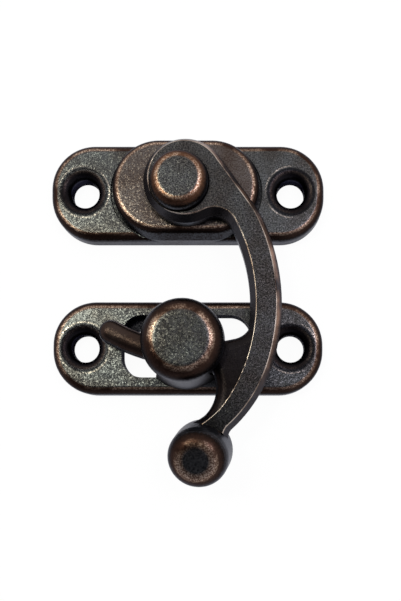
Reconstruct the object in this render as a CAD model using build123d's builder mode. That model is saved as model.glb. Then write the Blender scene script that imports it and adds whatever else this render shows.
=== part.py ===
"""Swing-arm box latch: a hinge plate, a catch plate with a bridged stud, and the curved arm between them.

Millimetres and degrees. The latch lies on its back: the mounting plane is Z = 0, +Z points away from the
box, +X runs along the plates and +Y from the catch plate to the hinge plate. The origin is midway between
the hinge plate's two screw holes, on the mounting plane. Each piece is written as one STEP file.
"""
import os
from math import acos, asin, atan2, cos, degrees, dist, radians, sin, tan

from build123d import *

# plates
PLATE_L = 37.0
PLATE_W = 12.75
PLATE_T = 2.6
PLATE_END_R = 6.0       # corners of the ends, a little squarer than half round
PLATE_ROUND = 1.15
HINGE_MARGIN = 0.3      # how much longer and wider the hinge plate is
PLATE_PITCH = 21.2      # hinge plate's screw line to the catch plate's
SCREW_SPACING = 28.2
SCREW_R = 1.9
SINK_ROUND = 1.2        # round mouth of the screw holes, for the screws' heads

# raised boss of the hinge plate
BOSS_L = 19.8
BOSS_RISE = 1.8
BOSS_ROUND = 1.05
BOSS_X = -0.15
BOSS_SET_BACK = 0.75    # how far its front slopes back
CREASE_W = 0.45         # groove round the ends of the boss, at its foot
CREASE_DEPTH = 0.3

# pivot rivet, with its tail peened over a washer in the back of the hinge plate
PIVOT_X = -0.7
PIVOT_Y = -0.4
SHANK_R = 1.6
RUN_CLEAR = 0.05        # running fit of the arm on the rivet and on the boss
POCKET_DEPTH = 2.0
POCKET_CLEAR = 1.0      # round the washer
WASHER_R = 3.6
WASHER_T = 0.5
TAIL_R = 2.7
TAIL_T = 1.0
TAIL_CHAMFER = 0.5
BUTTON_R = 3.8
BUTTON_H = 2.0
BUTTON_ROUND = 1.45
SEAT_CLEAR = 0.15       # seat in the arm that the button stands in
SEAT_DEPTH = 0.25

# swing arm: hub, straight shoulder and bow
ARM_T = 2.75
ARM_WALL = 1.45         # upright lower part of the arm's sides
ARM_BEVEL = 0.72        # how far the sloping upper part leans in
ARM_EDGE_ROUND = 0.18   # edge of the arm's top face
ARM_W = 4.15
HUB_R = 5.5
HUB_AHEAD = 0.7         # the hub's outline, from the pivot
HUB_ABOVE = 0.58
SHOULDER_R = 11.0
SHOULDER_END = 25.4     # where the shoulder's round meets the bow
BOW_X = -12.9           # centre of the bow, from the pivot
BOW_RISE = 5.25         # and above the catch plate's screw line
BOW_R = 26.25
LOWER_R = 18.85         # tighter end of the bow's outer side, and where it begins
LOWER_ANGLE = -19.1
CROTCH_R = 2.4          # hollow between the hub and the bow's inner side

# finger that lies through the bridged stud, on a curve struck from close to the pivot, and its flared root
FINGER_AHEAD = 2.39     # centre of the curve, from the pivot
FINGER_ABOVE = 0.95
FINGER_DROP = 1.33      # its middle below the catch plate's screw line, at the stud
FINGER_RISE = 1.1       # and above the arm's underside
FINGER_T = 3.0
FINGER_HALF = 1.6
FINGER_ROUNDNESS = 0.94
FINGER_TIP = -119.5     # angles on the curve
FINGER_ROOT = -77.0
ROOT_CLIMB = 2.0        # how far the flare climbs up the arm's inner side
ROOT_SINK = 0.3
ROOT_ROUND = 1.2        # between the finger and the web below it
WEB_R = 5.0             # hollow of the web, from the finger to the knob
WEB_FILL = 0.35         # how far the web stands in from the arm's inner side

# leaning thumb knob on the arm's end
KNOB_ANGLE = -50.8      # its place on the bow
KNOB_OFFSET = 0.67      # outwards from the middle of the arm
KNOB_R = 4.08
KNOB_TOP_R = 3.95
KNOB_H = 5.1
KNOB_ROUND = 2.2
KNOB_LEAN = 15.0
KNOB_LEAN_HEADING = 246.0
NECK_INNER_R = 10.0     # hollows where the arm's sides run into the knob
NECK_OUTER_R = 1.5

# bridged stud and window of the catch plate
STUD_X = -0.2
STUD_RISE = 0.2         # above the catch plate's screw line
STUD_WALL = 1.65        # beside the tunnel, at the plate
STUD_RIM_R = 5.15
STUD_HEAD_T = 3.0
STUD_ROUND = 2.1
TUNNEL_CLEAR = 0.25     # above the finger
WINDOW_L = 17.6
WINDOW_W = 8.5
WINDOW_ROUND = 2.8
CORNER_WEB_L = 6.0      # thin webs at the back, in two opposite corners of the window
CORNER_WEB_W = 1.9
CORNER_WEB_T = 0.8

CUT = 1.0               # how far a cutter runs past a face
TURN = 360.0

BOSS_TOP = PLATE_T + BOSS_RISE
ARM_BOTTOM = BOSS_TOP + RUN_CLEAR
ARM_TOP = ARM_BOTTOM + ARM_T
FINGER_Z = ARM_BOTTOM + FINGER_RISE
TUNNEL_TOP = FINGER_Z + FINGER_T / 2 + TUNNEL_CLEAR
STUD_TOP = TUNNEL_TOP + STUD_HEAD_T
STUD_BASE_R = WINDOW_W / 2 + STUD_WALL

PIVOT = (PIVOT_X, PIVOT_Y)
HUB = (PIVOT_X + HUB_AHEAD, PIVOT_Y + HUB_ABOVE)
BOW = (PIVOT_X + BOW_X, BOW_RISE - PLATE_PITCH)
STUD = (STUD_X, STUD_RISE - PLATE_PITCH)
FINGER_C = (PIVOT_X + FINGER_AHEAD, PIVOT_Y + FINGER_ABOVE)


def polar(centre: tuple[float, float], radius: float, angle: float) -> tuple[float, float]:
    """Gives the point at a radius and an angle from a centre."""
    return centre[0] + radius * cos(radians(angle)), centre[1] + radius * sin(radians(angle))


def heading(start: tuple[float, float], end: tuple[float, float]) -> float:
    """Gives the angle of the line from one point to another."""
    return degrees(atan2(end[1] - start[1], end[0] - start[0]))


def meeting(first: tuple[float, float], first_r: float, second: tuple[float, float], second_r: float,
            side: int) -> tuple[float, float]:
    """Gives the point at two distances from two centres, left (1) or right (-1) of the line between them."""
    span = dist(first, second)
    turn = degrees(acos((span ** 2 + first_r ** 2 - second_r ** 2) / (2 * span * first_r)))
    return polar(first, first_r, heading(first, second) + side * turn)


def screw_plate(centre_y: float, margin: float) -> Part:
    """Makes a plate with a rounded upper edge and two screw holes with round mouths."""
    with BuildPart() as plate:
        with BuildSketch():
            with Locations((0, centre_y)):
                RectangleRounded(PLATE_L + margin, PLATE_W + margin, PLATE_END_R)
        extrude(amount=PLATE_T)
        fillet(faces().sort_by(Axis.Z)[-1].edges(), PLATE_ROUND)
        for side in (-1, 1):
            with Locations((side * SCREW_SPACING / 2, centre_y, PLATE_T / 2)):
                Cylinder(SCREW_R, PLATE_T + CUT, mode=Mode.SUBTRACT)
            fillet(edges(Select.LAST).group_by(Axis.Z)[-1], SINK_ROUND)
    return plate.part


# hinge plate: the boss spans its width and slopes back at the front, and a pocket takes the rivet's tail
hinge_w = PLATE_W + HINGE_MARGIN
boss_foot = PLATE_T - CREASE_DEPTH
with BuildPart() as hinge_plate:
    add(screw_plate(0, HINGE_MARGIN))
    with BuildSketch(Plane.XY.offset(boss_foot)):
        with Locations((BOSS_X, 0)):
            SlotOverall(BOSS_L + 2 * CREASE_W, hinge_w)
    extrude(amount=CREASE_DEPTH + CUT, mode=Mode.SUBTRACT)
    with BuildSketch():
        with Locations((BOSS_X, 0)):
            SlotOverall(BOSS_L, hinge_w)
    extrude(amount=boss_foot)
    with BuildSketch(Plane.XY.offset(boss_foot)):
        with Locations((BOSS_X, 0)):
            SlotOverall(BOSS_L, hinge_w)
    with BuildSketch(Plane.XY.offset(BOSS_TOP)):
        with Locations((BOSS_X, BOSS_SET_BACK / 2)):
            SlotOverall(BOSS_L, hinge_w - BOSS_SET_BACK)
    loft()
    fillet(faces().sort_by(Axis.Z)[-1].edges(), BOSS_ROUND)
    with Locations((*PIVOT, POCKET_DEPTH / 2)):
        Cylinder(WASHER_R + POCKET_CLEAR, POCKET_DEPTH, mode=Mode.SUBTRACT)
    with Locations((*PIVOT, BOSS_TOP / 2)):
        Cylinder(SHANK_R, BOSS_TOP + CUT, mode=Mode.SUBTRACT)

# catch plate: a tapered stud, hollowed from the back by a window so that its head bridges a tunnel
with BuildPart() as stud:
    with BuildSketch(Plane.XZ):
        with BuildLine():
            Polyline((0, PLATE_T / 2), (STUD_BASE_R, PLATE_T / 2), (STUD_BASE_R, PLATE_T),
                     (STUD_RIM_R, STUD_TOP), (0, STUD_TOP), close=True)
        make_face()
        fillet(vertices().group_by(Axis.Y)[-1].sort_by(Axis.X)[-1], STUD_ROUND)
    revolve(axis=Axis.Z)

with BuildPart() as catch_plate:
    add(screw_plate(-PLATE_PITCH, 0))
    with Locations((*STUD, 0)):
        add(stud.part)
    with BuildSketch(Plane.XY.offset(-CUT)):
        with Locations(STUD):
            RectangleRounded(WINDOW_L, WINDOW_W, WINDOW_ROUND)
    extrude(amount=TUNNEL_TOP + CUT, mode=Mode.SUBTRACT)
    corner_x, corner_y = (WINDOW_L - CORNER_WEB_L) / 2, (WINDOW_W - CORNER_WEB_W) / 2
    for side in (-1, 1):
        with Locations((STUD_X + side * corner_x, STUD[1] - side * corner_y, CORNER_WEB_T / 2)):
            Box(CORNER_WEB_L, CORNER_WEB_W, CORNER_WEB_T)

# knob: a turned button on a leaning axis, cut level with the arm's underside
bow_middle_r = BOW_R - ARM_W / 2
knob_c = polar(BOW, bow_middle_r + KNOB_OFFSET, KNOB_ANGLE)
lean_xy = polar((0, 0), sin(radians(KNOB_LEAN)), KNOB_LEAN_HEADING)
knob_plane = Plane(origin=(*knob_c, ARM_BOTTOM), z_dir=(*lean_xy, cos(radians(KNOB_LEAN))))
with BuildPart() as turned_knob:
    with BuildSketch(Plane.XZ):
        with BuildLine():
            Polyline((0, -KNOB_R), (KNOB_R, -KNOB_R), (KNOB_R, 0),
                     (KNOB_TOP_R, KNOB_H), (0, KNOB_H), close=True)
        make_face()
        fillet(vertices().group_by(Axis.Y)[-1].sort_by(Axis.X)[-1], KNOB_ROUND)
    revolve(axis=Axis.Z)

with BuildPart() as knob:
    add(turned_knob.part.moved(knob_plane.location))
    split(bisect_by=Plane.XY.offset(ARM_BOTTOM), keep=Keep.TOP)

# finger: a curved outline, with a flare above it and a web below it down to the knob, rounded on both faces
bow_inner_r = BOW_R - ARM_W
neck_lean = polar(knob_c, tan(radians(KNOB_LEAN)) * ARM_WALL, KNOB_LEAN_HEADING)
curve_r = dist(FINGER_C, (STUD_X, -PLATE_PITCH - FINGER_DROP))
upper_root = polar(FINGER_C, curve_r - FINGER_HALF, FINGER_ROOT)
upper_tip = polar(FINGER_C, curve_r - FINGER_HALF, FINGER_TIP)
upper_mid = polar(FINGER_C, curve_r - FINGER_HALF, (FINGER_ROOT + FINGER_TIP) / 2)
lower_tip = polar(FINGER_C, curve_r + FINGER_HALF, FINGER_TIP)
lower_mid = polar(FINGER_C, curve_r + FINGER_HALF, (FINGER_ROOT + FINGER_TIP) / 2)
tip_end = polar(FINGER_C, curve_r, FINGER_TIP - degrees(FINGER_HALF / curve_r))
root_angle = degrees(asin((upper_root[1] + ROOT_CLIMB - BOW[1]) / (bow_inner_r + ROOT_SINK)))
root_above = polar(BOW, bow_inner_r + ROOT_SINK, root_angle)
web_c = meeting(BOW, bow_inner_r - WEB_FILL - WEB_R, neck_lean, KNOB_R + WEB_R, 1)
web_top = meeting(FINGER_C, curve_r + FINGER_HALF, web_c, WEB_R, 1)
web_start, web_end = heading(web_c, web_top), heading(web_c, neck_lean)
arm_upper = polar(BOW, bow_middle_r, root_angle)
arm_lower = polar(BOW, bow_middle_r, (root_angle + KNOB_ANGLE) / 2)
with BuildPart() as finger:
    with BuildSketch(Plane.XY.offset(FINGER_Z - FINGER_T / 2)):
        with BuildLine():
            ThreePointArc(upper_tip, upper_mid, upper_root)
            TangentArc(upper_root, root_above, tangent=polar((0, 0), 1, FINGER_ROOT + 90))
            web = CenterArc(web_c, WEB_R, web_start, web_end - web_start)
            Polyline(root_above, arm_upper, arm_lower, knob_c, web @ 1)
            ThreePointArc(web_top, lower_mid, lower_tip)
            ThreePointArc(upper_tip, tip_end, lower_tip)
        make_face()
        fillet(vertices().sort_by_distance((*web_top, 0))[0], ROOT_ROUND)
    extrude(amount=FINGER_T)
    rims = edges().filter_by(GeomType.CIRCLE).filter_by(Plane.XY)
    fillet(rims, FINGER_ROUNDNESS * FINGER_T / 2)

# outline of hub, shoulder, bow and neck, all tangent: the shoulder's straight part touches the hub and the
# shoulder's round, the crotch lies between the hub and the bow, and the neck's hollows touch the knob's wall
shoulder_c = polar(BOW, BOW_R - SHOULDER_R, SHOULDER_END)
hub_start = heading(HUB, shoulder_c) + degrees(acos((HUB_R - SHOULDER_R) / dist(HUB, shoulder_c)))
crotch_c = meeting(HUB, HUB_R + CROTCH_R, BOW, bow_inner_r - CROTCH_R, 1)
hub_end = heading(HUB, crotch_c)
crotch_start, crotch_end = heading(crotch_c, HUB), heading(BOW, crotch_c)
lower_c = polar(BOW, BOW_R - LOWER_R, LOWER_ANGLE)

inner_neck_c = meeting(BOW, bow_inner_r - NECK_INNER_R, neck_lean, KNOB_R + NECK_INNER_R, 1)
outer_neck_c = meeting(lower_c, LOWER_R + NECK_OUTER_R, neck_lean, KNOB_R + NECK_OUTER_R, 1)
inner_neck_start = heading(BOW, inner_neck_c)
inner_neck_turn = heading(inner_neck_c, neck_lean) - inner_neck_start
outer_neck_start = heading(outer_neck_c, lower_c)
outer_neck_turn = (heading(outer_neck_c, neck_lean) - outer_neck_start) % TURN

with BuildPart() as swing_arm:
    with BuildSketch(Plane.XY.offset(ARM_BOTTOM)) as arm_outline:
        with BuildLine():
            hub = CenterArc(HUB, HUB_R, hub_start, (hub_end - hub_start) % TURN)
            CenterArc(crotch_c, CROTCH_R, crotch_start, crotch_end - crotch_start)
            CenterArc(BOW, bow_inner_r, crotch_end, inner_neck_start - crotch_end)
            inner = CenterArc(inner_neck_c, NECK_INNER_R, inner_neck_start, inner_neck_turn)
            shoulder = CenterArc(shoulder_c, SHOULDER_R, hub_start, SHOULDER_END - hub_start)
            Line(hub @ 0, shoulder @ 0)
            CenterArc(BOW, BOW_R, SHOULDER_END, LOWER_ANGLE - SHOULDER_END)
            CenterArc(lower_c, LOWER_R, LOWER_ANGLE, heading(lower_c, outer_neck_c) - LOWER_ANGLE)
            outer = CenterArc(outer_neck_c, NECK_OUTER_R, outer_neck_start, outer_neck_turn)
            Line(outer @ 1, inner @ 1)
        make_face()
    extrude(amount=ARM_WALL)
    bevel_h = ARM_T - ARM_WALL
    with BuildSketch(Plane.XY.offset(ARM_BOTTOM + ARM_WALL)):
        add(arm_outline.sketch_local)
    extrude(amount=bevel_h, taper=degrees(atan2(ARM_BEVEL, bevel_h)))
    fillet(faces().sort_by(Axis.Z)[-1].edges(), ARM_EDGE_ROUND)
    add(finger.part)
    add(knob.part)
    with Locations((*PIVOT, ARM_TOP)):
        Cylinder(BUTTON_R + SEAT_CLEAR, 2 * SEAT_DEPTH, mode=Mode.SUBTRACT)
    with Locations((*PIVOT, ARM_TOP - ARM_T / 2)):
        Cylinder(SHANK_R + RUN_CLEAR, ARM_T + CUT, mode=Mode.SUBTRACT)

# rivet: a button head, a shank through arm and plate, and a peened tail
head_z = ARM_TOP - SEAT_DEPTH + RUN_CLEAR
tail_z = POCKET_DEPTH - WASHER_T
with BuildPart() as turned_rivet:
    with BuildSketch(Plane.XZ):
        with BuildLine():
            Polyline((0, tail_z - TAIL_T), (TAIL_R, tail_z - TAIL_T), (TAIL_R, tail_z), (SHANK_R, tail_z),
                     (SHANK_R, head_z), (BUTTON_R, head_z), (BUTTON_R, head_z + BUTTON_H),
                     (0, head_z + BUTTON_H), close=True)
        make_face()
        fillet(vertices().group_by(Axis.Y)[-1].sort_by(Axis.X)[-1], BUTTON_ROUND)
        chamfer(vertices().group_by(Axis.Y)[0].sort_by(Axis.X)[-1], TAIL_CHAMFER)
    revolve(axis=Axis.Z)

with BuildPart() as pivot_rivet:
    with Locations((*PIVOT, 0)):
        add(turned_rivet.part)

with BuildPart() as tail_washer:
    with Locations((*PIVOT, POCKET_DEPTH - WASHER_T / 2)):
        Cylinder(WASHER_R, WASHER_T)
        Cylinder(SHANK_R, WASHER_T + CUT, mode=Mode.SUBTRACT)

hinge_plate.part.label = "hinge_plate"
catch_plate.part.label = "catch_plate"
swing_arm.part.label = "swing_arm"
pivot_rivet.part.label = "pivot_rivet"
tail_washer.part.label = "tail_washer"

os.makedirs("parts", exist_ok=True)
export_step(hinge_plate.part, "parts/hinge_plate.step")
export_step(catch_plate.part, "parts/catch_plate.step")
export_step(swing_arm.part, "parts/swing_arm.step")
export_step(pivot_rivet.part, "parts/pivot_rivet.step")
export_step(tail_washer.part, "parts/tail_washer.step")
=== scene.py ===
"""Dresses the swing-arm box latch in antique bronze and sets it on a white studio floor.

Metres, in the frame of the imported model: the plates lie on their backs at Z = 0, +Z points away from the box
and +Y runs from the catch plate to the hinge plate. The solids stay as they are and get their finishes here.
"""
import logging
import math
from collections.abc import Callable, Sequence
from dataclasses import dataclass, field
from enum import Enum
from functools import partial
from typing import Any

import bpy
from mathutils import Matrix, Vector


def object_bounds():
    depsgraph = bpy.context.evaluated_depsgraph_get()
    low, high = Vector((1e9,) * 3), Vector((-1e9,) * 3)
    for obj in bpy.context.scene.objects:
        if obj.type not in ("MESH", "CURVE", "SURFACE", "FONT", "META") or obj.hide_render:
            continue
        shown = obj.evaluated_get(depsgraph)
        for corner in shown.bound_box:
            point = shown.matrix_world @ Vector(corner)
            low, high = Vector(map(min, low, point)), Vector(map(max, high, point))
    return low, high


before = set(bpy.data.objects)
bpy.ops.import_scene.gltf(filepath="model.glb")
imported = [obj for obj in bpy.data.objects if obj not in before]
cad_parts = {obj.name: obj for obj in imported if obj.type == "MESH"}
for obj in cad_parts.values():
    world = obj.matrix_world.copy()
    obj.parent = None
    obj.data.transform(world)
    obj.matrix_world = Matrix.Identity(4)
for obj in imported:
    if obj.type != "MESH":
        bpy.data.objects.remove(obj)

CAD_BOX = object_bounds()
LOG = logging.getLogger("box_latch")
MM = 0.001
PHOTO_W, PHOTO_H = 401, 601
WHITE = "#ffffff"
UP = (0.0, 0.0, 1.0)
MID_NOISE = 0.5
# a Mix node's sockets for colours; it has others of the same names, so they are told apart by number
FAC, A, B, MIXED = 0, 6, 7, 2

Socket = bpy.types.NodeSocket
Adder = Callable[..., Socket]
Point = tuple[float, float, float]


class Side(Enum):
    """Where a soft light stands round the latch, as a direction from it."""

    LEFT = (-0.36, 0.21, 0.909)
    FAR_LEFT = (-0.60, 0.14, 0.79)
    RIGHT = (0.40, 0.17, 0.90)


def linear(code: str) -> tuple[float, float, float, float]:
    """Turns an sRGB colour, written as "#rrggbb", to linear red, green and blue with an alpha of 1."""
    channels = [int(code[i:i + 2], 16) / 255 for i in (1, 3, 5)]
    return (*(c / 12.92 if c <= 0.04045 else ((c + 0.055) / 1.055) ** 2.4 for c in channels), 1.0)


def per_metre(size_mm: float) -> float:
    """Gives the texture scale whose pattern repeats about once in a size in millimetres."""
    return 1 / (size_mm * MM)


def node(tree: bpy.types.NodeTree, kind: str, inputs: dict[int | str, Any] | None = None, out: int | str = 0,
         stops: Sequence[tuple[float, str]] = (), **settings: Any) -> Socket | None:
    """Adds a node with its settings, constants and links.

    Args:
        tree: The node tree that takes it.
        kind: The node's type name.
        inputs: Each input's name or number, with a constant or a socket to link from.
        out: The output that is wanted.
        stops: A ramp's positions from 0 to 1 with hex colours, in order.
        **settings: The node's own properties.

    Returns:
        The wanted output's socket, or nothing from a tree's last node.
    """
    made = tree.nodes.new(kind)
    for name, value in settings.items():
        setattr(made, name, value)
    for key, value in (inputs or {}).items():
        if isinstance(value, Socket):
            tree.links.new(value, made.inputs[key])
        else:
            made.inputs[key].default_value = value
    if stops:
        elements = made.color_ramp.elements
        while len(elements) < len(stops):
            elements.new(1.0)
        for element, (position, code) in zip(elements, stops):
            element.position = position
            element.color = linear(code)
    return made.outputs[out] if made.outputs else None


@dataclass(frozen=True)
class Span:
    """Two values of a measure or a noise between which a change happens.

    Attributes:
        start: Where it begins.
        end: Where it is complete.
    """

    start: float
    end: float


@dataclass(frozen=True)
class Crown:
    """A flat top that leans, with its own axis.

    Attributes:
        centre: A point on its axis.
        axis: Unit vector out of the flat top.
        radius: How far from the axis the top and its rounding reach.
        rubbed: Distance from the axis over which the top's grain gives way to rubbed metal.
    """

    centre: Point
    axis: Point
    radius: float
    rubbed: Span


@dataclass(frozen=True)
class Openings:
    """A plate's two screw holes, the same distance either side of X = 0, and its window, if it has one.

    Attributes:
        reach: From X = 0 to each hole's axis.
        line: The Y of both axes.
        radius: How far from their axes the holes' painted shade reaches.
        face: Height of the plate's face.
        window: Half the length and width of a box round the window's walls.
        slack: How far those walls' painted shade keeps off the plate's face and back.
        fade: Over how much of the radius the holes' painted shade thins out.
        shade_share: Share of painted shade in the holes; the window's walls have it all.
        shade_facing: How far a surface in them faces up, over which the painted shade goes from a wall's grey
            to black.
        rim: Half the width of the rim round the painted shade, rubbed and painted as a highlight.
        rim_cloud: Slow noise over which the rim sets in.
        rim_grain: Grain over which it sets in.
    """

    reach: float
    line: float
    radius: float
    face: float
    window: tuple[float, float] | None = None
    slack: float = 0.05 * MM
    fade: float = 0.2 * MM
    shade_share: float = 0.92
    shade_facing: Span = Span(0.12, 0.3)
    rim: float = 0.09 * MM
    rim_cloud: Span = Span(0.46, 0.62)
    rim_grain: Span = Span(0.4, 0.6)


@dataclass(frozen=True)
class ArmZones:
    """Which places on the arm hands and use have rubbed, and where light and shade are painted on it.

    Attributes:
        top: Height of the top face.
        edge: How far below the top face its rubbed edge line, also a painted highlight, reaches.
        edge_gap: How far from the knob that line ends.
        edge_cloud: Slow noise over which the line sets in.
        bevel: How far the sloping sides face up, as the cosine of their tilt.
        bevel_slack: How much that may differ.
        lit_side: Which way the slopes face that get painted light; the others stay dark.
        push: How far a slope faces that way, over which it gets the painted light.
        lit_cloud: Slow noise over which a slope gets the painted light.
        lit_gap: Distance from the knob over which it gets the painted light.
        top_band: Depth under the top face from which the painted light on the slopes grows, and where it is
            full.
        band_least: Share of that painted light further down.
        shade_to_finger: X over which the web's painted shade gives way to the finger's own colour.
        rod_facing: How far the web and the finger face up, over which they take the web's painted shade and
            the finger's colour.
        painted_shade: How far painted shade on the top face reaches from the knob.
        unshaded_least: Share of unshaded grain where that painted shade is thickest.
    """

    top: float = 7.2 * MM
    edge: float = 0.08 * MM
    edge_gap: float = 0.2 * MM
    edge_cloud: Span = Span(0.35, 0.55)
    bevel: float = 0.485
    bevel_slack: float = 0.06
    lit_side: Point = (0.8, 0.6, 0.0)
    push: Span = Span(0.3, 0.75)
    lit_cloud: Span = Span(0.35, 0.6)
    lit_gap: Span = Span(0.5 * MM, 2.5 * MM)
    top_band: Span = Span(1.1 * MM, 0.4 * MM)
    band_least: float = 0.1
    shade_to_finger: Span = Span(3.0 * MM, -3.0 * MM)
    rod_facing: Span = Span(0.6, 0.85)
    painted_shade: float = 7.0 * MM
    unshaded_least: float = 0.25


@dataclass(frozen=True)
class Surface:
    """What a material reads at each point of a piece.

    Attributes:
        add: Adds a node to the material.
        place: Position on the object.
        facing: How far the surface faces up, or along a leaning crown's own axis.
        grain: The grain's noise.
        cloud: The slow noise that makes the wear patchy.
        flat: 1 on the grainy flat tops.
        hidden: 1 inside the openings, if the piece has them.
    """

    add: Adder
    place: Socket
    facing: Socket
    grain: Socket
    cloud: Socket
    flat: Socket
    hidden: Socket | None


@dataclass(frozen=True)
class AntiqueBronze:
    """Antique bronze: a zinc die casting, tumbled, copper plated, blackened and rubbed back.

    The eye sees dark sparkling grain on the flat tops, copper flecked with pale metal where each rounding has
    been rubbed beside a flat top, brown to black below that, smooth blue-grey side walls and black corners,
    where patina and painted shade lie. Shade is also painted in the openings, and light and shade on the arm.

    Attributes:
        name: The material's name.
        crown: A leaning flat top, if the piece has one.
        openings: Screw holes and a window, if the piece has them.
        arm: The arm's rubbed places and its painted light and shade, on the arm.
        raised_from: Height above which flat tops take on another tint, if any do.
        raised_share: Share of that tint.
        handled_from: Height above which roundings are fully rubbed.
        low_share: Share of rubbing on the roundings below that.
        step: How far under these two heights the change begins.
        wall_to: How far a rounding's lower part that still looks like the wall faces up.
        black_over: How much further up it faces where it is black.
        shade_at: How far up it faces where the black has thinned.
        brown_at: How far up it faces where the brown begins.
        stray: How much the grain makes those bands stray.
        stray_to: Facing at which they would stop straying, just past a flat top.
        ring_facing: How far a rounding faces up, over which its rubbed ring sets in.
        ring_cloud: Slow noise over which the ring sets in.
        fleck: Grain over which the ring goes from copper to bright.
        flat_facing: How far a surface faces up, over which a rounding gives way to a grainy flat top.
        grain_tone: Grain over which a flat top goes from dark to light.
        tone: Slow noise over which the plating goes from browned to clear.
        crease_mm: How far the black of the corners, patina and painted shade, reaches.
        crease_air: Share of open air over which that black gives way.
        crease_rays: Rays that look for open air.
        facet_tilt: How far the grain's facets tip, from walls to flat tops.
        rough: Roughness, from walls to flat tops.
    """

    name: str
    crown: Crown | None = None
    openings: Openings | None = None
    arm: ArmZones | None = None
    raised_from: float | None = None
    raised_share: float = 0.2
    handled_from: float = 0.0
    low_share: float = 0.75
    step: float = 0.1 * MM
    wall_to: float = 0.26
    black_over: float = 0.2
    shade_at: float = 0.72
    brown_at: float = 0.93
    stray: float = 1.4
    stray_to: float = 1.05
    ring_facing: Span = Span(0.85, 0.96)
    ring_cloud: Span = Span(0.36, 0.54)
    fleck: Span = Span(0.45, 0.61)
    flat_facing: Span = Span(0.976, 0.998)
    grain_tone: Span = Span(0.36, 0.65)
    tone: Span = Span(0.35, 0.65)
    crease_mm: float = 1.0
    crease_air: Span = Span(0.3, 0.8)
    crease_rays: int = 8
    facet_tilt: Span = Span(0.1, 0.13)
    rough: Span = Span(0.34, 0.27)

    grain_dark: str = "#363738"
    grain_light: str = "#606161"
    raised_tint: str = "#6a4631"
    wall: str = "#3d3f45"
    black: str = "#191514"
    shade: str = "#281e1b"
    brown: str = "#3a2b25"
    copper: str = "#6a5245"
    bright: str = "#c8b09c"
    line: str = "#b0a499"           # rubbed edge lines and rims, also painted as highlights
    bevel_dark: str = "#333236"
    # painted light: brown on the arm's slopes that face the lit way
    bevel_lit_brown: str = "#a98570"
    # painted shade on the web, which lies between the arm and the stud
    web: str = "#1e1b1c"
    finger: str = "#3a302c"
    # painted shade in the openings: grey on their walls, black on what faces up in them
    opening_wall_shade: str = "#40414c"           # walls of the openings
    painted_shade: str = "#17171b"
    # patina kept in corners with painted shade, and painted shade round the arm's knob
    patina_and_shade: str = "#0a0a0a"
    browned: str = "#d8cdc6"        # multiplies the rest where the plating is thin
    grazing: str = "#dcdce2"        # the blackening dulls the mirror that bare metal shows along a wall
    opening_shade_grazing: str = "#62626c"   # and the painted shade in the openings dulls it most

    grain_mm: float = 0.20          # tumbled grain; finer on the real casting, and drawn as coarse as shows
    grain_octaves: float = 2.0
    grain_harshness: float = 0.6
    grain_depth_mm: float = 0.02
    grain_bump: float = 0.5
    sparkle_mm: float = 0.16
    cloud_mm: float = 4.0
    cloud_octaves: float = 3.0
    cloud_harshness: float = 0.55

    def off_crown(self, add: Adder, place: Socket) -> Socket:
        """Measures the distance from the leaning crown's axis.

        Args:
            add: Adds a node to the material.
            place: Position on the object.

        Returns:
            The distance in metres.
        """
        offset = add("ShaderNodeVectorMath", {0: place, 1: self.crown.centre}, operation="SUBTRACT")
        across = add("ShaderNodeVectorMath", {0: offset, 1: self.crown.axis}, operation="CROSS_PRODUCT")
        return add("ShaderNodeVectorMath", {0: across}, "Value", operation="LENGTH")

    def on_crown(self, add: Adder, place: Socket) -> Socket:
        """Tells whether a place is on the leaning crown, as 1 or 0."""
        off = self.off_crown(add, place)
        return add("ShaderNodeMath", {0: off, 1: self.crown.radius}, operation="LESS_THAN")

    def folded(self, add: Adder, place: Socket) -> Socket:
        """Folds a plate about its middle, so that its two screw holes fall on one."""
        offset = add("ShaderNodeVectorMath", {0: place, 1: (0, self.openings.line, 0)}, operation="SUBTRACT")
        return add("ShaderNodeVectorMath", {0: offset}, operation="ABSOLUTE")

    def off_hole(self, add: Adder, place: Socket) -> Socket:
        """Measures the distance from the nearer screw hole's axis.

        Args:
            add: Adds a node to the material.
            place: Position on the object.

        Returns:
            The distance in metres.
        """
        level = add("ShaderNodeVectorMath", {0: self.folded(add, place), 1: (1, 1, 0)}, operation="MULTIPLY")
        hole = (self.openings.reach, 0, 0)
        return add("ShaderNodeVectorMath", {0: level, 1: hole}, "Value", operation="DISTANCE")

    def facing(self, add: Adder, place: Socket) -> Socket:
        """Tells how far the surface faces out of the plates, or along a leaning crown's own axis.

        Args:
            add: Adds a node to the material.
            place: Position on the object.

        Returns:
            A socket that is 1 on a flat top and 0 on an upright wall.
        """
        normal = add("ShaderNodeTexCoord", out="Normal")
        level = add("ShaderNodeVectorMath", {0: normal, 1: UP}, "Value", operation="DOT_PRODUCT")
        if self.crown is None:
            return level
        axis = self.crown.axis
        leaning = add("ShaderNodeVectorMath", {0: normal, 1: axis}, "Value", operation="DOT_PRODUCT")
        inside = self.on_crown(add, place)
        return add("ShaderNodeMapRange", {"Value": inside, "To Min": level, "To Max": leaning})

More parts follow.
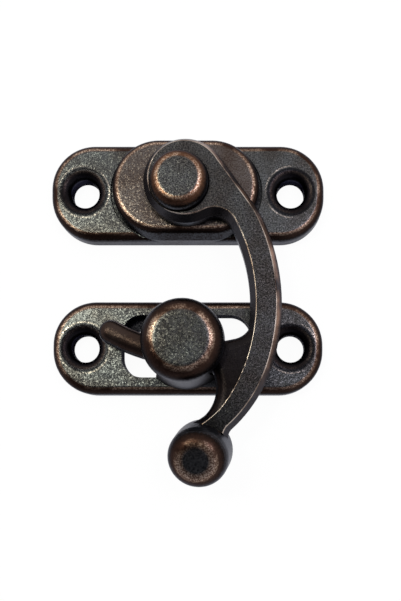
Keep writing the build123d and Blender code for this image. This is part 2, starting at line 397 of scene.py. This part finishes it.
    def flat_top(self, add: Adder, place: Socket, facing: Socket) -> Socket:
        """Finds the flat tops that keep their grain.

        Args:
            add: Adds a node to the material.
            place: Position on the object.
            facing: How far the surface faces up.

        Returns:
            A socket that is 1 on them and 0 elsewhere.
        """
        flat = add("ShaderNodeMapRange", {"Value": facing, "From Min": self.flat_facing.start,
                                          "From Max": self.flat_facing.end}, interpolation_type="SMOOTHSTEP")
        if self.crown is not None:
            off = self.off_crown(add, place)
            rubbed = self.crown.rubbed
            ring = add("ShaderNodeMapRange", {"Value": off, "From Min": rubbed.start, "From Max": rubbed.end,
                                              "To Max": self.on_crown(add, place)})
            flat = add("ShaderNodeMapRange", {"Value": ring, "To Min": flat, "To Max": 0.0})
        if self.arm is not None:
            height = add("ShaderNodeSeparateXYZ", {0: place}, "Z")
            low = self.arm.top - self.arm.edge
            high = add("ShaderNodeMath", {0: height, 1: low}, operation="GREATER_THAN")
            flat = add("ShaderNodeMath", {0: flat, 1: high}, operation="MULTIPLY")
        return flat

    def hidden(self, add: Adder, place: Socket) -> Socket:
        """Finds the screw holes and the window's walls, where shade is painted.

        Args:
            add: Adds a node to the material.
            place: Position on the object.

        Returns:
            A socket that is 1, or the holes' share of painted shade, inside the openings and 0 elsewhere.
        """
        gap = self.openings
        off = self.off_hole(add, place)
        holes = add("ShaderNodeMapRange", {"Value": off, "From Min": gap.radius,
                                           "From Max": gap.radius - gap.fade, "To Max": gap.shade_share})
        if gap.window is None:
            return holes
        x, y, z = (add("ShaderNodeSeparateXYZ", {0: self.folded(add, place)}, axis) for axis in "XYZ")
        along = add("ShaderNodeMath", {0: x, 1: gap.window[0]}, operation="LESS_THAN")
        across = add("ShaderNodeMath", {0: y, 1: gap.window[1]}, operation="LESS_THAN")
        middle = gap.face / 2
        deep = add("ShaderNodeMath", {0: z, 1: middle, 2: middle - gap.slack}, operation="COMPARE")
        level = add("ShaderNodeMath", {0: along, 1: across}, operation="MULTIPLY")
        within = add("ShaderNodeMath", {0: level, 1: deep}, operation="MULTIPLY")
        return add("ShaderNodeMath", {0: holes, 1: within}, operation="MAXIMUM")

    def rounding(self, at: Surface) -> Socket:
        """Colours the walls and roundings, rubbed the more the nearer they are to a flat top.

        Args:
            at: What the material reads.

        Returns:
            The colour.
        """
        add = at.add
        uneven = add("ShaderNodeMath", {0: at.grain, 1: MID_NOISE}, operation="SUBTRACT")
        away = add("ShaderNodeMath", {0: self.stray_to, 1: at.facing}, operation="SUBTRACT")
        stray = add("ShaderNodeMath", {0: uneven, 1: away}, operation="MULTIPLY")
        rubbed = add("ShaderNodeMath", {0: stray, 1: self.stray, 2: at.facing}, operation="MULTIPLY_ADD",
                     use_clamp=True)
        patina = add("ShaderNodeValToRGB", {"Fac": rubbed}, stops=[
            (0.0, self.wall), (self.wall_to, self.wall), (self.wall_to + self.black_over, self.black),
            (self.shade_at, self.shade), (self.brown_at, self.brown)])
        flecked = add("ShaderNodeValToRGB", {"Fac": at.grain}, stops=[
            (self.fleck.start, self.copper), (self.fleck.end, self.bright)])
        height = add("ShaderNodeSeparateXYZ", {0: at.place}, "Z")
        handled = add("ShaderNodeMapRange", {"Value": height, "From Min": self.handled_from - self.step,
                                             "From Max": self.handled_from, "To Min": self.low_share})
        band = add("ShaderNodeMapRange", {"Value": at.facing, "From Min": self.ring_facing.start,
                                          "From Max": self.ring_facing.end, "To Max": handled})
        top_band = add("ShaderNodeMapRange", {"Value": at.cloud, "From Min": self.ring_cloud.start,
                                          "From Max": self.ring_cloud.end, "To Max": band})
        return add("ShaderNodeMix", {FAC: top_band, A: patina, B: flecked}, MIXED, data_type="RGBA")

    def slopes(self, at: Surface, colour: Socket) -> Socket:
        """Colours the arm's sloping sides, with painted light in brown high up on those that face the lit way.

        Args:
            at: What the material reads.
            colour: What the other places wear.

        Returns:
            The colour with the slopes dressed.
        """
        add, arm, knob = at.add, self.arm, self.crown.radius
        open_part = add("ShaderNodeMapRange", {"Value": self.off_crown(add, at.place),
                                               "From Min": knob + arm.lit_gap.start,
                                               "From Max": knob + arm.lit_gap.end})
        uneven = add("ShaderNodeMapRange", {"Value": at.cloud, "From Min": arm.lit_cloud.start,
                                            "From Max": arm.lit_cloud.end, "To Max": open_part})
        height = add("ShaderNodeSeparateXYZ", {0: at.place}, "Z")
        high = add("ShaderNodeMapRange", {"Value": height, "From Min": arm.top - arm.top_band.start,
                                          "From Max": arm.top - arm.top_band.end, "To Min": arm.band_least})
        reached = add("ShaderNodeMath", {0: uneven, 1: high}, operation="MULTIPLY")
        normal = add("ShaderNodeTexCoord", out="Normal")
        # the slopes that face the lit way take painted light
        towards = add("ShaderNodeVectorMath", {0: normal, 1: arm.lit_side}, "Value", operation="DOT_PRODUCT")
        lit_side = add("ShaderNodeMapRange", {"Value": towards, "From Min": arm.push.start,
                                            "From Max": arm.push.end, "To Max": reached})
        slope = add("ShaderNodeMix", {FAC: lit_side, A: linear(self.bevel_dark), B: linear(self.bevel_lit_brown)},
                    MIXED, data_type="RGBA")
        sloped = add("ShaderNodeMath", {0: at.facing, 1: arm.bevel, 2: arm.bevel_slack}, operation="COMPARE")
        return add("ShaderNodeMix", {FAC: sloped, A: colour, B: slope}, MIXED, data_type="RGBA")

    def edge_line(self, at: Surface, colour: Socket) -> Socket:
        """Draws the rubbed line along the edges of the arm's top face, also a painted highlight.

        Args:
            at: What the material reads.
            colour: What the other places wear.

        Returns:
            The colour with the line drawn.
        """
        add, arm = at.add, self.arm
        height = add("ShaderNodeSeparateXYZ", {0: at.place}, "Z")
        near = add("ShaderNodeMath", {0: height, 1: arm.top, 2: arm.edge}, operation="COMPARE")
        off, line_end = self.off_crown(add, at.place), self.crown.radius + arm.edge_gap
        clear = add("ShaderNodeMath", {0: off, 1: line_end}, operation="GREATER_THAN")
        edge = add("ShaderNodeMath", {0: near, 1: clear}, operation="MULTIPLY")
        patch = add("ShaderNodeMapRange", {"Value": at.cloud, "From Min": arm.edge_cloud.start,
                                           "From Max": arm.edge_cloud.end, "To Max": edge})
        return add("ShaderNodeMix", {FAC: patch, A: colour, B: linear(self.line)}, MIXED, data_type="RGBA")

    def finger_and_web(self, at: Surface, colour: Socket) -> Socket:
        """Colours the arm's finger and web, which face up below its top face; the web's dark is painted shade.

        Args:
            at: What the material reads.
            colour: What the other places wear.

        Returns:
            The colour with those two dressed.
        """
        add, arm = at.add, self.arm
        x, height = (add("ShaderNodeSeparateXYZ", {0: at.place}, axis) for axis in "XZ")
        shade_to_finger = add("ShaderNodeMapRange", {"Value": x, "From Min": arm.shade_to_finger.start, "From Max": arm.shade_to_finger.end})
        # painted shade on the web, giving way to the finger's own colour
        rod = add("ShaderNodeMix", {FAC: shade_to_finger, A: linear(self.web), B: linear(self.finger)}, MIXED,
                  data_type="RGBA")
        low = add("ShaderNodeMath", {0: height, 1: arm.top - arm.edge}, operation="LESS_THAN")
        upward = add("ShaderNodeMapRange", {"Value": at.facing, "From Min": arm.rod_facing.start,
                                            "From Max": arm.rod_facing.end, "To Max": low})
        return add("ShaderNodeMix", {FAC: upward, A: colour, B: rod}, MIXED, data_type="RGBA")

    def grainy(self, at: Surface) -> Socket:
        """Colours the flat tops, with painted shade round the arm's knob, and tinted where they are raised.

        Args:
            at: What the material reads.

        Returns:
            The colour.
        """
        add = at.add
        top = add("ShaderNodeValToRGB", {"Fac": at.grain}, stops=[
            (self.grain_tone.start, self.grain_dark), (self.grain_tone.end, self.grain_light)])
        if self.arm is not None:
            # painted shade on the arm's top face, thickest at the knob
            off, knob = self.off_crown(add, at.place), self.crown.radius
            past = add("ShaderNodeMapRange", {"Value": off, "From Min": knob, "To Min": self.arm.unshaded_least,
                                              "From Max": knob + self.arm.painted_shade})
            unshaded = add("ShaderNodeMath", {0: self.on_crown(add, at.place), 1: past}, operation="MAXIMUM")
            top = add("ShaderNodeMix", {FAC: unshaded, A: linear(self.patina_and_shade), B: top}, MIXED, data_type="RGBA")
        if self.raised_from is not None:
            height = add("ShaderNodeSeparateXYZ", {0: at.place}, "Z")
            low = self.raised_from - self.step
            raised = add("ShaderNodeMath", {0: height, 1: low}, operation="GREATER_THAN")
            share = add("ShaderNodeMath", {0: raised, 1: self.raised_share}, operation="MULTIPLY")
            tint = linear(self.raised_tint)
            top = add("ShaderNodeMix", {FAC: share, A: top, B: tint}, MIXED, data_type="RGBA")
        return top

    def shade_openings(self, at: Surface, colour: Socket) -> Socket:
        """Puts painted shade in the openings, with a flecked rim round each screw hole, rubbed and painted as
        a highlight.

        Args:
            at: What the material reads.
            colour: What the other places wear.

        Returns:
            The colour with the openings dressed.
        """
        add, gap = at.add, self.openings
        # painted shade: the openings' walls grey, what faces up in them black
        opening_shade = add("ShaderNodeValToRGB", {"Fac": at.facing}, stops=[
            (0.0, self.opening_wall_shade), (gap.shade_facing.start, self.opening_wall_shade), (gap.shade_facing.end, self.painted_shade)])
        colour = add("ShaderNodeMix", {FAC: at.hidden, A: colour, B: opening_shade}, MIXED, data_type="RGBA")
        # the rim round each hole: rubbed flecks that also paint the highlight of a rolled lip
        off = self.off_hole(add, at.place)
        rim = add("ShaderNodeMath", {0: off, 1: gap.radius + gap.rim, 2: gap.rim}, operation="COMPARE")
        level = add("ShaderNodeMath", {0: rim, 1: at.flat}, operation="MULTIPLY")
        patch = add("ShaderNodeMapRange", {"Value": at.cloud, "From Min": gap.rim_cloud.start,
                                           "From Max": gap.rim_cloud.end, "To Max": level})
        fleck = add("ShaderNodeMapRange", {"Value": at.grain, "From Min": gap.rim_grain.start,
                                           "From Max": gap.rim_grain.end, "To Max": patch})
        return add("ShaderNodeMix", {FAC: fleck, A: colour, B: linear(self.line)}, MIXED, data_type="RGBA")

    def colour(self, at: Surface) -> Socket:
        """Colours the whole piece.

        Args:
            at: What the material reads.

        Returns:
            The colour.
        """
        add = at.add
        edge = self.rounding(at)
        if self.arm is not None:
            for dressed in (self.slopes, self.edge_line, self.finger_and_web):
                edge = dressed(at, edge)
        mixed = add("ShaderNodeMix", {FAC: at.flat, A: edge, B: self.grainy(at)}, MIXED, data_type="RGBA")
        if self.openings is not None:
            mixed = self.shade_openings(at, mixed)
        tone = add("ShaderNodeValToRGB", {"Fac": at.cloud}, stops=[
            (self.tone.start, self.browned), (self.tone.end, WHITE)])
        toned = add("ShaderNodeMix", {FAC: 1.0, A: mixed, B: tone}, MIXED, data_type="RGBA",
                    blend_type="MULTIPLY")
        # black in corners from ambient occlusion: patina kept there, and painted shade
        open_air = add("ShaderNodeAmbientOcclusion", {"Distance": self.crease_mm * MM}, "AO",
                       samples=self.crease_rays)
        reached = add("ShaderNodeMapRange", {"Value": open_air, "From Min": self.crease_air.start,
                                             "From Max": self.crease_air.end})
        return add("ShaderNodeMix", {FAC: reached, A: linear(self.patina_and_shade), B: toned}, MIXED, data_type="RGBA")

    def build(self) -> bpy.types.Material:
        """Makes the material.

        Returns:
            The new material.
        """
        material = bpy.data.materials.new(self.name)
        material.use_nodes = True
        material.node_tree.nodes.clear()
        add = partial(node, material.node_tree)
        place = add("ShaderNodeTexCoord", out="Object")
        facing = self.facing(add, place)
        grain = add("ShaderNodeTexNoise", {"Vector": place, "Scale": per_metre(self.grain_mm),
                                           "Detail": self.grain_octaves, "Roughness": self.grain_harshness})
        cloud = add("ShaderNodeTexNoise", {"Vector": place, "Scale": per_metre(self.cloud_mm),
                                           "Detail": self.cloud_octaves, "Roughness": self.cloud_harshness})
        flat = self.flat_top(add, place, facing)
        hidden, grazing = None, linear(self.grazing)
        # the painted shade in the openings also dims the reflection along their walls
        if self.openings is not None:
            hidden = self.hidden(add, place)
            grazing = add("ShaderNodeMix", {FAC: hidden, A: grazing, B: linear(self.opening_shade_grazing)}, MIXED,
                          data_type="RGBA")
        colour = self.colour(Surface(add, place, facing, grain, cloud, flat, hidden))

        # each grain is a small facet of its own, tipped most on the flat tops
        flakes = add("ShaderNodeTexVoronoi", {"Vector": place, "Scale": per_metre(self.sparkle_mm)}, "Color")
        spread = add("ShaderNodeVectorMath", {0: flakes, 1: (MID_NOISE,) * 3}, operation="SUBTRACT")
        tilt = add("ShaderNodeMapRange", {"Value": flat, "To Min": self.facet_tilt.start,
                                          "To Max": self.facet_tilt.end})
        facet = add("ShaderNodeVectorMath", {0: spread, "Scale": tilt}, operation="SCALE")
        normal = add("ShaderNodeNewGeometry", out="Normal")
        tipped = add("ShaderNodeVectorMath", {0: normal, 1: facet}, operation="ADD")
        sharp = add("ShaderNodeVectorMath", {0: tipped}, operation="NORMALIZE")
        bump = add("ShaderNodeBump", {"Strength": self.grain_bump, "Distance": self.grain_depth_mm * MM,
                                      "Height": grain, "Normal": sharp})
        rough = add("ShaderNodeMapRange", {"Value": flat, "To Min": self.rough.start,
                                           "To Max": self.rough.end})
        shader = add("ShaderNodeBsdfPrincipled", {"Base Color": colour, "Metallic": 1.0, "Roughness": rough,
                                                  "Specular Tint": grazing, "Normal": bump})
        add("ShaderNodeOutputMaterial", {"Surface": shader})
        return material


@dataclass(frozen=True)
class PressedSteel:
    """Plain steel sheet, blanked and left bare: a cool grey with faint rolling streaks.

    Attributes:
        name: The material's name.
        dark: Colour in the streaks.
        pale: Colour between them.
        streak_mm: The streaks' width.
        streak_length_mm: Their length.
        tone: Noise over which the colour goes from dark to pale.
        rough: Roughness, from the streaks to between them.
    """

    name: str = "pressed_steel"
    dark: str = "#838387"
    pale: str = "#a8a8aa"
    streak_mm: float = 0.15
    streak_length_mm: float = 4.0
    tone: Span = Span(0.3, 0.7)
    rough: Span = Span(0.3, 0.5)

    def build(self) -> bpy.types.Material:
        """Makes the material.

        Returns:
            The new material.
        """
        material = bpy.data.materials.new(self.name)
        material.use_nodes = True
        material.node_tree.nodes.clear()
        add = partial(node, material.node_tree)
        along, across = per_metre(self.streak_length_mm), per_metre(self.streak_mm)
        place = add("ShaderNodeTexCoord", out="Object")
        drawn = add("ShaderNodeMapping", {"Vector": place, "Scale": (along, across, across)})
        streak = add("ShaderNodeTexNoise", {"Vector": drawn, "Scale": 1.0})
        colour = add("ShaderNodeValToRGB", {"Fac": streak}, stops=[
            (self.tone.start, self.dark), (self.tone.end, self.pale)])
        rough = add("ShaderNodeMapRange", {"Value": streak, "To Min": self.rough.start,
                                           "To Max": self.rough.end})
        shader = add("ShaderNodeBsdfPrincipled", {"Base Color": colour, "Metallic": 1.0, "Roughness": rough})
        add("ShaderNodeOutputMaterial", {"Surface": shader})
        return material


@dataclass
class Piece:
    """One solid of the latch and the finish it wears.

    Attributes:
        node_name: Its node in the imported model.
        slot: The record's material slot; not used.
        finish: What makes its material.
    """

    node_name: str
    slot: str
    finish: AntiqueBronze | PressedSteel

    def dress(self) -> bpy.types.Object:
        """Puts the finish on the solid.

        Returns:
            The dressed object.
        """
        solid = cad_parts[self.node_name]
        material = self.finish.build()
        for place in solid.material_slots:
            place.material = material
        LOG.info("%s dressed in %s", self.node_name, material.name)
        return solid


@dataclass
class Plates:
    """The two round-ended plates, one with the pivot's boss and one with the bridged stud.

    Attributes:
        hinge: The hinge plate's node.
        catch: The catch plate's node.
        slot: Both plates' material slot.
        hole_reach: From the middle of a plate to each screw hole.
        hinge_line: The Y of the hinge plate's screw holes.
        catch_line: The Y of the catch plate's screw holes.
        shade_radius: How far the screw holes' painted shade reaches from their axes.
        window: Half the length and width of a box round the catch plate's window.
        boss_top: Height of the boss.
        stud_top: Height of the stud.
        stud_tint: What the stud's top is tinted with.
        face: Height of the plates' faces.
        handled_over: How far above those faces hands rub the roundings fully.
    """

    hinge: str = "hinge_plate"
    catch: str = "catch_plate"
    slot: str = "bronzed_plate"
    hole_reach: float = 14.1 * MM
    hinge_line: float = 0.0
    catch_line: float = -21.2 * MM
    shade_radius: float = 3.4 * MM
    window: tuple[float, float] = (9.6 * MM, 4.8 * MM)
    boss_top: float = 4.4 * MM
    stud_top: float = 10.3 * MM
    stud_tint: str = "#2a2c28"
    face: float = 2.6 * MM
    handled_over: float = 0.1 * MM

    def dress(self) -> None:
        """Dresses both plates."""
        handled = self.face + self.handled_over
        hinge_holes = Openings(self.hole_reach, self.hinge_line, self.shade_radius, self.face)
        catch_holes = Openings(self.hole_reach, self.catch_line, self.shade_radius, self.face, self.window)
        hinge = AntiqueBronze("antique_bronze_hinge_plate", openings=hinge_holes, handled_from=handled,
                              raised_from=self.boss_top)
        catch = AntiqueBronze("antique_bronze_catch_plate", openings=catch_holes, handled_from=handled,
                              raised_from=self.stud_top, raised_tint=self.stud_tint)
        Piece(self.hinge, self.slot, hinge).dress()
        Piece(self.catch, self.slot, catch).dress()


@dataclass
class SwingArm:
    """The curved arm with its finger and its leaning thumb knob.

    Attributes:
        node_name: Its node.
        slot: Its material slot.
        knob_foot: Where the knob's axis meets the arm's underside.
        knob_lean: How far the knob leans, in degrees.
        knob_heading: Which way it leans, in degrees from +X.
        knob_radius: Its radius, less the foot that the arm runs into.
        knob_rubbed: Distance from its axis over which its top gets rubbed.
        zones: Where the arm is rubbed.
    """

    node_name: str = "swing_arm"
    slot: str = "bronzed_arm"
    knob_foot: Point = (2.10 * MM, -35.20 * MM, 4.45 * MM)
    knob_lean: float = 15.0
    knob_heading: float = 246.0
    knob_radius: float = 4.01 * MM
    knob_rubbed: Span = Span(1.55 * MM, 2.0 * MM)
    zones: ArmZones = ArmZones()

    def crown(self) -> Crown:
        """Works out the knob's own axis.

        Returns:
            The knob's flat top.
        """
        lean, heading = math.radians(self.knob_lean), math.radians(self.knob_heading)
        axis = (math.sin(lean) * math.cos(heading), math.sin(lean) * math.sin(heading), math.cos(lean))
        return Crown(self.knob_foot, axis, self.knob_radius, self.knob_rubbed)

    def dress(self) -> None:
        """Dresses the arm."""
        finish = AntiqueBronze("antique_bronze_arm", crown=self.crown(), arm=self.zones, wall_to=0.4,
                               wall="#4b4e55", grain_dark="#252526", grain_light="#595858")
        Piece(self.node_name, self.slot, finish).dress()


@dataclass
class PivotRivet:
    """The button-headed rivet that the arm turns on, and the washer under its peened tail.

    Attributes:
        rivet: The rivet's node.
        rivet_slot: Its material slot.
        washer: The washer's node.
        washer_slot: Its material slot.
    """

    rivet: str = "pivot_rivet"
    rivet_slot: str = "bronzed_rivet"
    washer: str = "tail_washer"
    washer_slot: str = "washer_steel"

    def dress(self) -> None:
        """Dresses the rivet and its washer."""
        finish = AntiqueBronze("antique_bronze_rivet", crease_mm=0.5, shade="#3b2a22", brown="#5c4030",
                               copper="#7d5c48", grain_dark="#262728", grain_light="#656565")
        Piece(self.rivet, self.rivet_slot, finish).dress()
        Piece(self.washer, self.washer_slot, PressedSteel()).dress()


@dataclass(frozen=True)
class Softbox:
    """A square soft light that faces the latch.

    Attributes:
        side: Where it stands.
        distance: From the latch's middle.
        width: Its side.
        radiance: How bright its face is, where 1 is white.
        colour: Its colour.
    """

    side: Side
    distance: float
    width: float
    radiance: float
    colour: str

    def place(self, target: Vector) -> bpy.types.Object:
        """Makes the lamp and turns it to the latch.

        Args:
            target: The point it faces.

        Returns:
            The lamp.
        """
        data = bpy.data.lights.new("softbox_" + self.side.name.lower(), "AREA")
        data.size = self.width
        data.energy = self.radiance * math.pi * self.width ** 2
        data.color = linear(self.colour)[:3]
        lamp = bpy.data.objects.new(data.name, data)
        away = Vector(self.side.value).normalized()
        lamp.location = target + away * self.distance
        lamp.rotation_euler = away.to_track_quat("Z", "Y").to_euler()
        lamp.visible_camera = False
        bpy.context.scene.collection.objects.link(lamp)
        LOG.info("%s placed", lamp.name)
        return lamp


@dataclass
class Studio:
    """White floor, a dim patch in a pale room, soft lights and the camera of the photograph.

    Attributes:
        floor_size: Side of the floor.
        floor_drop: How far the floor lies under the plates' backs.
        floor_glow: Share of the floor's white that isn't shaded.
        dim_way: Where the room's dim patch is, as a direction from the latch.
        walls: The room's colour low down, and away from the dim patch.
        walls_to: How near to the dim patch's middle they reach, as a cosine.
        half_way: The room's colour overhead.
        half_way_at: How near to the dim patch's middle that is.
        dim: The dim patch's colour.
        dim_from: How near to its middle it is that dim.
        room_light: How bright the room is.
        camera_place: Where the lens is; it looks straight down.
        clip_start: How near to the lens things still show.
        focal_px: Focal length in pixels of the photograph.
        axis_px: Where the lens axis meets the photograph.
        sensor: Width of the camera's sensor in millimetres.
        lights: The soft lights.
    """

    floor_size: float = 4.0
    floor_drop: float = 0.02 * MM
    floor_glow: float = 0.95
    dim_way: Point = (-0.30, -0.45, 0.84)
    walls: str = WHITE
    walls_to: float = 0.44
    half_way: str = "#a3a5b4"
    half_way_at: float = 0.77
    dim: str = "#63656d"
    dim_from: float = 0.84
    room_light: float = 1.15
    camera_place: Point = (7.39 * MM, -33.14 * MM, 90.0 * MM)
    clip_start: float = 1.0 * MM
    focal_px: float = 642.5
    axis_px: tuple[float, float] = (241.75, 435.4)
    sensor: float = 36.0
    lights: list[Softbox] = field(default_factory=lambda: [
        Softbox(Side.LEFT, distance=0.40, width=0.07, radiance=26.0, colour="#fbffea"),
        Softbox(Side.FAR_LEFT, distance=0.42, width=0.12, radiance=5.0, colour="#fff6e6"),
        Softbox(Side.RIGHT, distance=0.45, width=0.14, radiance=7.0, colour="#f4f0ff"),
    ])

    def floor(self) -> bpy.types.Object:
        """Makes the floor: matt white that glows to the lens and to shiny metal, and takes a soft shadow.

        Returns:
            The floor.
        """
        half = self.floor_size / 2
        outline = ((-half, -half), (half, -half), (half, half), (-half, half))
        mesh = bpy.data.meshes.new("floor")
        mesh.from_pydata([(x, y, -self.floor_drop) for x, y in outline], [], [range(len(outline))])
        floor = bpy.data.objects.new("floor", mesh)
        bpy.context.scene.collection.objects.link(floor)
        material = bpy.data.materials.new("matt_white_paper")
        material.use_nodes = True
        material.node_tree.nodes.clear()
        add = partial(node, material.node_tree)
        seen, mirrored, passed = (add("ShaderNodeLightPath", out=ray)
                                  for ray in ("Is Camera Ray", "Is Glossy Ray", "Is Transmission Ray"))
        either = add("ShaderNodeMath", {0: seen, 1: mirrored}, operation="MAXIMUM")
        shown = add("ShaderNodeMath", {0: either, 1: passed}, operation="MAXIMUM")
        share = add("ShaderNodeMath", {0: shown, 1: self.floor_glow}, operation="MULTIPLY")
        matt = add("ShaderNodeBsdfDiffuse", {"Color": linear(WHITE)})
        glow = add("ShaderNodeEmission", {"Color": linear(WHITE), "Strength": 1.0})
        mixed = add("ShaderNodeMixShader", {0: share, 1: matt, 2: glow})
        add("ShaderNodeOutputMaterial", {"Surface": mixed})
        mesh.materials.append(material)
        LOG.info("floor laid")
        return floor

    def room(self) -> None:
        """Makes the world: pale walls and a dim patch, so that flat tops stay dark and edges catch light."""
        world = bpy.data.worlds.new("studio")
        bpy.context.scene.world = world
        world.use_nodes = True
        world.node_tree.nodes.clear()
        add = partial(node, world.node_tree)
        direction = add("ShaderNodeTexCoord", out="Generated")
        dim_way = Vector(self.dim_way).normalized()
        nearness = add("ShaderNodeVectorMath", {0: direction, 1: dim_way}, "Value", operation="DOT_PRODUCT")
        colour = add("ShaderNodeValToRGB", {"Fac": nearness}, stops=[
            (0.0, self.walls), (self.walls_to, self.walls), (self.half_way_at, self.half_way),
            (self.dim_from, self.dim)])
        background = add("ShaderNodeBackground", {"Color": colour, "Strength": self.room_light})
        add("ShaderNodeOutputWorld", {"Surface": background})

    def camera(self) -> bpy.types.Object:
        """Sets the camera straight above, shifted as the photograph is framed.

        Returns:
            The camera.
        """
        long_side = max(PHOTO_W, PHOTO_H)
        data = bpy.data.cameras.new("camera")
        data.sensor_width = self.sensor
        data.lens = self.focal_px / long_side * self.sensor
        data.shift_x = (PHOTO_W / 2 - self.axis_px[0]) / long_side
        data.shift_y = (self.axis_px[1] - PHOTO_H / 2) / long_side
        data.clip_start = self.clip_start
        camera = bpy.data.objects.new("camera", data)
        camera.location = self.camera_place
        bpy.context.scene.collection.objects.link(camera)
        bpy.context.scene.camera = camera
        return camera

    def build(self) -> None:
        """Makes the floor, the room, the lights and the camera."""
        self.floor()
        self.room()
        middle = (CAD_BOX[0] + CAD_BOX[1]) / 2
        for light in self.lights:
            light.place(middle)
        self.camera()
        bpy.context.scene.view_settings.view_transform = "Standard"


def main() -> None:
    """Dresses each sub-assembly, then sets the studio round it."""
    logging.basicConfig(level=logging.INFO, format="%(name)s: %(message)s")
    Plates().dress()
    SwingArm().dress()
    PivotRivet().dress()
    Studio().build()


if __name__ == "__main__":
    main()
